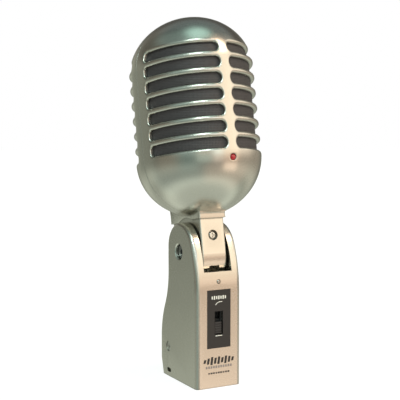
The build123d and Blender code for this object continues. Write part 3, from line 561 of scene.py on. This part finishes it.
def edge_rings(points, edge_at, radii, side, steps):
    """Rings from a block's border over the hole's rounded edge, through the wall and back inside."""
    def between(share, reach, sink, depth=0.0):
        ring = []
        for i, (p, z) in enumerate(points):
            q, w = edge_at(i, reach * radii[i])
            spot = (q + (p - q) * share, w + (z - w) * share)
            ring.append(on_shell(*spot, depth + sink * radii[i], side))
        return ring

    rings = [between(share, 1.0, 0.0) for share in OUTER_SHARES]
    for step in range(steps + 1):
        turn = math.pi / 2 * step / steps
        rings.append(between(0.0, 1 - math.sin(turn), 1 - math.cos(turn)))
    rings += [between(share, 0.0, 0.0, SHELL_T) for share in INNER_SHARES]
    return rings


def disc_edge(points, centre, radius):
    """edge_at for a round hole that is cut straight along y."""
    def edge_at(i, reach):
        p, z = points[i]
        offset = Vector((on_shell(p, z, 0.0, 1).x - centre[0], z - centre[1]))
        across = offset.normalized() * (radius + reach)
        x, w = centre[0] + across.x, centre[1] + across.y
        return arc_of(max(x, 0.0), w), w
    return edge_at


def pocket_rings(points, side, radius, seat, depth, lead):
    """Rings from a block's border down a straight hole to its seat; lead is the rim's round-over."""
    def ring(reach, inset=0.0):
        edge_at = disc_edge(points, REAR_SCREW, reach)
        return [on_shell(*edge_at(i, 0.0), inset, side) for i in range(len(points))]

    outer = [on_shell(p, z, depth, side) for p, z in points]
    rim = ring(radius + lead, depth)
    rings = [outer, [a.lerp(b, 0.5) for a, b in zip(outer, rim)], rim]
    if lead:
        for reach, sink in RIM_STEPS:
            rings.append([spot - Vector((0, sink, 0)) for spot in ring(radius + reach)])
    rings.append([Vector((spot.x, seat, spot.z)) for spot in ring(radius)])
    return rings


def screw_pocket(bm, points, side):
    """A counterbore in the rear dome, with its seat, and the boss round it inside."""
    bore = pocket_rings(points, side, REAR_SCREW_R, REAR_SEAT_Y, 0.0, REAR_RIM)
    boss = pocket_rings(points, side, REAR_BOSS_R, REAR_SEAT_Y - REAR_FLOOR_T, SHELL_T, 0.0)
    for rings in (bore, boss):
        made = join_rings(bm, rings, True)
        bm.faces.new(made[-1])


SLOT_EDGE_STEPS = 5
LED_EDGE_STEPS = 2
LED_BLOCK = 4.0          # the lamp's block reaches this far from the middle
SCREW_BLOCK = (6.4, 5.6)  # half width and half height of a rear screw's block


def half_shell(bm, side):
    """The x > 0 half of one shell, outer face, inner face, slots and seam edge."""
    covered = set()

    def block(first_p, last_p, first_z, last_z):
        i0, i1 = (min(range(len(ROWS)), key=lambda i: abs(ROWS[i] - z)) for z in (first_z, last_z))
        j0, j1 = (min(range(len(COLUMNS)), key=lambda j: abs(COLUMNS[j] - p)) for p in (first_p, last_p))
        covered.update((i, j) for i in range(i0, i1) for j in range(j0, j1))
        closed = j0 > 0 or j1 == len(COLUMNS) - 1
        return border(COLUMNS[j0:j1 + 1], ROWS[i0:i1 + 1], closed)

    for slot in range(SLOT_COUNT):
        middle = SLOT_TOP_Z - slot * SLOT_PITCH
        points = block(0, LAST_COLUMN, middle - SLOT_PITCH / 2, middle + SLOT_PITCH / 2)
        edges = [slot_edge(p, z, middle) for p, z in points]

        def edge_at(i, reach, edges=edges, middle=middle):
            (p, v), (out_p, out_z) = edges[i]
            return p + reach * out_p, middle + v + reach * out_z

        radii = [END_EDGE_R + (EDGE_R - END_EDGE_R) * out_z ** 2 for _, (_, out_z) in edges]
        join_rings(bm, edge_rings(points, edge_at, radii, side, SLOT_EDGE_STEPS), True)
    if side < 0:
        points = block(0, LED_BLOCK, LAMP_LOW, CELLS_LOW)
        radii = [LED_EDGE_R] * len(points)
        lamp_edge = disc_edge(points, (0.0, LED_Z), LED_HOLE_R)
        join_rings(bm, edge_rings(points, lamp_edge, radii, side, LED_EDGE_STEPS), False)
    else:
        x, z = REAR_SCREW
        middle = arc_of(x, z)
        wide, tall = SCREW_BLOCK
        screw_pocket(bm, block(middle - wide, middle + wide, z - tall, z + tall), side)
    for depth in (0.0, SHELL_T):
        for i in range(len(ROWS) - 1):
            for j in range(len(COLUMNS) - 1):
                if (i, j) in covered:
                    continue
                corners = ((i, j), (i, j + 1), (i + 1, j + 1), (i + 1, j))
                spots = [on_shell(COLUMNS[c], ROWS[r], depth, side) for r, c in corners]
                bm.faces.new([bm.verts.new(spot) for spot in spots])
    rim = QUARTER - SEAM_GAP
    profile = [(LAST_COLUMN, 0.0)]
    for turn in np.linspace(0, math.pi / 2, 5):
        profile.append((rim - SEAM_R * (1 - math.sin(turn)), SEAM_R * (1 - math.cos(turn))))
    profile += [(rim, SHELL_T), (LAST_COLUMN, SHELL_T)]
    join_rings(bm, [[on_shell(p, z, depth, side) for z in ROWS] for p, depth in profile], False)


# ---------------------------------------------------------------- collar under the head
COLLAR_HALF_W = 7.7
COLLAR_FRONT = -16.3
COLLAR_REAR = 16.6
COLLAR_Z = 15.4
COLLAR_EDGE_R = 0.9      # round-over of the collar's sides
LIP_EDGE_R = 0.35
LIP_TOP = 17.5           # a small fillet joins the lip to the dome above this height
LIP_FILLET_R = 0.9
FLARE_Z = 18.4           # the rear wall starts to flare into the dome here
FLARE_R = 11.8
FLARE_TURN = 48
FLARE_HUG = 0.385        # how much of the flare's reach is given up at the collar's sides
ARCH_R = 17.3            # the sides are cut back round the pivot
LIP_FILLET_TURN = 70
SIDE_SHARE = 0.4         # how much of the sides' round-over the underside takes
FRONT_INSIDE = ((COLLAR_FRONT - 0.7, 19.2), (COLLAR_FRONT, 19.4), (SEAM_Y - SEAM_GAP, 18.9))
REAR_INSIDE = ((20.8, 27.9), (19.0, 26.6), (15.4, 24.0), (SEAM_Y + SEAM_GAP, 18.9))
INNER_STATIONS = (4.4, 2.2)


def collar_profile(side):
    """Closed side profile of half the collar: y, z, the outward direction and the share of the
    sides' round-over that each point takes."""
    end = COLLAR_FRONT if side < 0 else COLLAR_REAR
    seam = SEAM_Y + side * SEAM_GAP
    profile = []
    for y in np.linspace(seam, end - side * LIP_EDGE_R, 14)[:-1]:
        z = max(COLLAR_Z, math.sqrt(max(0.0, ARCH_R ** 2 - y ** 2)))
        profile.append((y, z, 0.0, -1.0, SIDE_SHARE))
    for turn in np.linspace(0, math.pi / 2, 5):
        out_y, out_z = side * math.sin(turn), -math.cos(turn)
        y = end - side * LIP_EDGE_R + LIP_EDGE_R * out_y
        z = COLLAR_Z + LIP_EDGE_R + LIP_EDGE_R * out_z
        profile.append((y, z, out_y, out_z, SIDE_SHARE + (1 - SIDE_SHARE) * math.sin(turn)))
    if side < 0:
        start, radius, last, count, inside = LIP_TOP, LIP_FILLET_R, LIP_FILLET_TURN, 6, FRONT_INSIDE
    else:
        start, radius, last, count, inside = FLARE_Z, FLARE_R, FLARE_TURN, 9, REAR_INSIDE
    for turn in np.radians(np.linspace(0, last, count)):
        y = end + side * radius * (1 - math.cos(turn))
        z = start + radius * math.sin(turn)
        profile.append((y, z, side * math.cos(turn), -math.sin(turn), 1.0))
    return profile + [(y, z, 0.0, 0.0, 0.0) for y, z in inside]


def add_collar(bm, side):
    """Half of the collar, its sides rounded over and its rear flare kept close to the dome."""
    profile = collar_profile(side)
    stations = []
    for turn in np.linspace(0, math.pi / 2, 6):
        inset = COLLAR_EDGE_R * (1 - math.sin(turn))
        stations.append((COLLAR_HALF_W - COLLAR_EDGE_R * (1 - math.cos(turn)), inset))
    stations += [(x, 0.0) for x in INNER_STATIONS]
    stations += [(0.0, 0.0)] + [(-x, inset) for x, inset in reversed(stations)]
    made = []
    for x, inset in stations:
        hug = 1 - FLARE_HUG * (x / COLLAR_HALF_W) ** 2
        ring = []
        for y, z, out_y, out_z, share in profile:
            reach = max(0.0, y - COLLAR_REAR)
            across = y - reach + reach * hug
            ring.append(bm.verts.new((x, across - inset * share * out_y, z - inset * share * out_z)))
        made.append(ring)
    count = len(profile)
    for near, far in zip(made, made[1:]):
        for i in range(count):
            j = (i + 1) % count
            bm.faces.new((near[i], near[j], far[j], far[i]))
    bm.faces.new(made[0])
    bm.faces.new(made[-1])


# ---------------------------------------------------------------- meshes into pieces
def to_piece(name, bm, matrix, body, slot, replaced=(), sharp=40, merge=0.002):
    """Weld a mesh in millimetres, turn it into a smooth-shaded piece and tie it to its body."""
    bmesh.ops.remove_doubles(bm, verts=bm.verts, dist=merge)
    bmesh.ops.dissolve_degenerate(bm, edges=bm.edges, dist=merge / 2)
    bmesh.ops.recalc_face_normals(bm, faces=bm.faces)
    mesh = bpy.data.meshes.new(name)
    bm.to_mesh(mesh)
    bm.free()
    mesh.transform(matrix @ Matrix.Scale(MM, 4))
    mesh.shade_smooth()
    mesh.set_sharp_from_angle(angle=math.radians(sharp))
    piece = bpy.data.objects.new(name, mesh)
    bpy.context.scene.collection.objects.link(piece)
    mesh.materials.append(materials[slot])
    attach(piece, body)
    if replaced:
        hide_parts(*replaced)
    return piece


def make_shell(side, name, replaced):
    bm = bmesh.new()
    half_shell(bm, side)
    copied = bmesh.ops.duplicate(bm, geom=bm.faces[:])["geom"]
    for vert in [item for item in copied if isinstance(item, bmesh.types.BMVert)]:
        vert.co.x = -vert.co.x
    bmesh.ops.remove_doubles(bm, verts=bm.verts, dist=0.002)
    add_collar(bm, side)
    return to_piece(name, bm, HEAD, "head", "satin_nickel", (replaced,), 50)


# ---------------------------------------------------------------- stand thread
THREAD_MINOR_R = 7.43
THREAD_MAJOR_R = 7.9
THREAD_PITCH = 25.4 / 27
INSERT_H = 6.8
INSERT_NECK_R = 8.58
INSERT_FLANGE_R = 9.6
INSERT_STEP_Z = 2.4
FLANGE_CHAMFER = 0.3
NECK_CHAMFER = 0.15
THREAD_RUNOUT = 0.5
THREAD_TURN_STEPS = 96
THREAD_ROWS = 60


def make_thread_insert():
    """Brass insert with a real 5/8"-27 helical thread, run out at both ends."""
    bm = bmesh.new()
    outside = [
        (THREAD_MAJOR_R + 0.1, INSERT_H),
        (INSERT_FLANGE_R - FLANGE_CHAMFER, INSERT_H),
        (INSERT_FLANGE_R, INSERT_H - FLANGE_CHAMFER),
        (INSERT_FLANGE_R, INSERT_STEP_Z + FLANGE_CHAMFER),
        (INSERT_FLANGE_R - FLANGE_CHAMFER, INSERT_STEP_Z),
        (INSERT_NECK_R, INSERT_STEP_Z),
        (INSERT_NECK_R, NECK_CHAMFER),
        (INSERT_NECK_R - NECK_CHAMFER, 0.0),
    ]
    rings = []
    for step in range(THREAD_TURN_STEPS):
        turn = 2 * math.pi * step / THREAD_TURN_STEPS
        ring = []
        for row in range(THREAD_ROWS + 1):
            z = INSERT_H * row / THREAD_ROWS
            wave = abs((z / THREAD_PITCH - step / THREAD_TURN_STEPS) % 1 * 2 - 1)
            open_end = max(0.0, 1 - min(z, INSERT_H - z) / THREAD_RUNOUT)
            radius = THREAD_MINOR_R + (THREAD_MAJOR_R - THREAD_MINOR_R) * max(wave, open_end)
            ring.append((radius, z))
        ring += outside
        rings.append([bm.verts.new((r * math.cos(turn), r * math.sin(turn), z)) for r, z in ring])
    for near, far in zip(rings, rings[1:] + rings[:1]):
        for i in range(len(near)):
            j = (i + 1) % len(near)
            bm.faces.new((near[i], near[j], far[j], far[i]))
    to_piece("stand_thread_insert", bm, Matrix.Identity(4), "base", "brass", ("thread_insert",), 35)


# ---------------------------------------------------------------- printed marks
BASE_FRONT_Y = -19.7
PLATE_FRONT_Y = -19.6
INK_T = 0.04             # how far the ink stands on its face
INK_ROOT = 0.02          # how far it reaches into it
ROLL_OFF = ((-1.9, 42.3), (-1.3, 42.9), (-0.7, 43.4), (0.1, 43.7), (1.0, 43.75), (1.9, 43.75))
PLATE_BAR_HEIGHTS = (0.75, 0.95, 0.75, 0.95, 0.75, 0.95, 0.75)      # half heights
FRONT_BAR_HEIGHTS = (0.9, 1.5, 2.0, 1.5, 1.9, 1.3, 1.9, 1.5, 1.0)


def add_mark(bm, face_y, outline):
    """A thin raised patch of ink with this outline of (x, z) points."""
    back = [bm.verts.new((x, face_y + INK_ROOT, z)) for x, z in outline]
    front = [bm.verts.new((x, face_y - INK_T, z)) for x, z in outline]
    bm.faces.new(front)
    bm.faces.new(back[::-1])
    for i in range(len(outline)):
        j = (i + 1) % len(outline)
        bm.faces.new((front[i], back[i], back[j], front[j]))


def bar(x, z, half_w, half_h, lean=0.0):
    """Outline of an upright bar that leans to the right by this much at its top."""
    return [(x - half_w - lean, z - half_h), (x + half_w - lean, z - half_h),
            (x + half_w + lean, z + half_h), (x - half_w + lean, z + half_h)]


def stroke(points, width):
    """Outline of a line of even width through these points."""
    sides = ([], [])
    for i, (x, z) in enumerate(points):
        before, after = points[max(i - 1, 0)], points[min(i + 1, len(points) - 1)]
        along = Vector((after[0] - before[0], after[1] - before[1])).normalized() * (width / 2)
        sides[0].append((x - along.y, z + along.x))
        sides[1].append((x + along.y, z - along.x))
    return sides[0] + sides[1][::-1]


def make_marks():
    """Plain signs in place of words: switch settings on the plate, and bars on the base's front."""
    white = bmesh.new()
    for i, height in enumerate(PLATE_BAR_HEIGHTS):
        add_mark(white, PLATE_FRONT_Y, bar(-3.75 + 1.25 * i, 46.0, 0.36, height))
    add_mark(white, PLATE_FRONT_Y, stroke(ROLL_OFF, 0.35))
    add_mark(white, PLATE_FRONT_Y, bar(0.0, 26.5, 1.9, 0.18))
    to_piece("switch_signs", white, Matrix.Identity(4), "base", "nylon", (), 30)
    dark = bmesh.new()
    for i, height in enumerate(FRONT_BAR_HEIGHTS):
        add_mark(dark, BASE_FRONT_Y, bar(-8.0 + 2.0 * i, 13.9, 0.62, height, 0.25))
    for i in range(9):
        add_mark(dark, BASE_FRONT_Y, bar(-5.6 + 1.4 * i, 7.6, 0.5 if i % 3 else 0.36, 0.42))
    to_piece("front_bars", dark, Matrix.Identity(4), "base", "black_label", (), 30)
    faint = bmesh.new()
    for i in range(11):
        add_mark(faint, BASE_FRONT_Y, bar(-7.0 + 1.4 * i, 10.7, 0.42, 0.6))
    to_piece("front_dots", faint, Matrix.Identity(4), "base", "transformer_can", (), 30)


# ---------------------------------------------------------------- the scene
make_camera()
make_light()
make_floor()
materials = make_materials()
for subpart in frame["record"]["subparts"]:
    carried = nodes[subpart["node"]]
    carried.data.materials.clear()
    carried.data.materials.append(materials[subpart["material_slot"]])
make_shell(-1, "front_shell", "front_grille")
make_shell(1, "rear_shell", "rear_grille")
make_thread_insert()
make_marks()
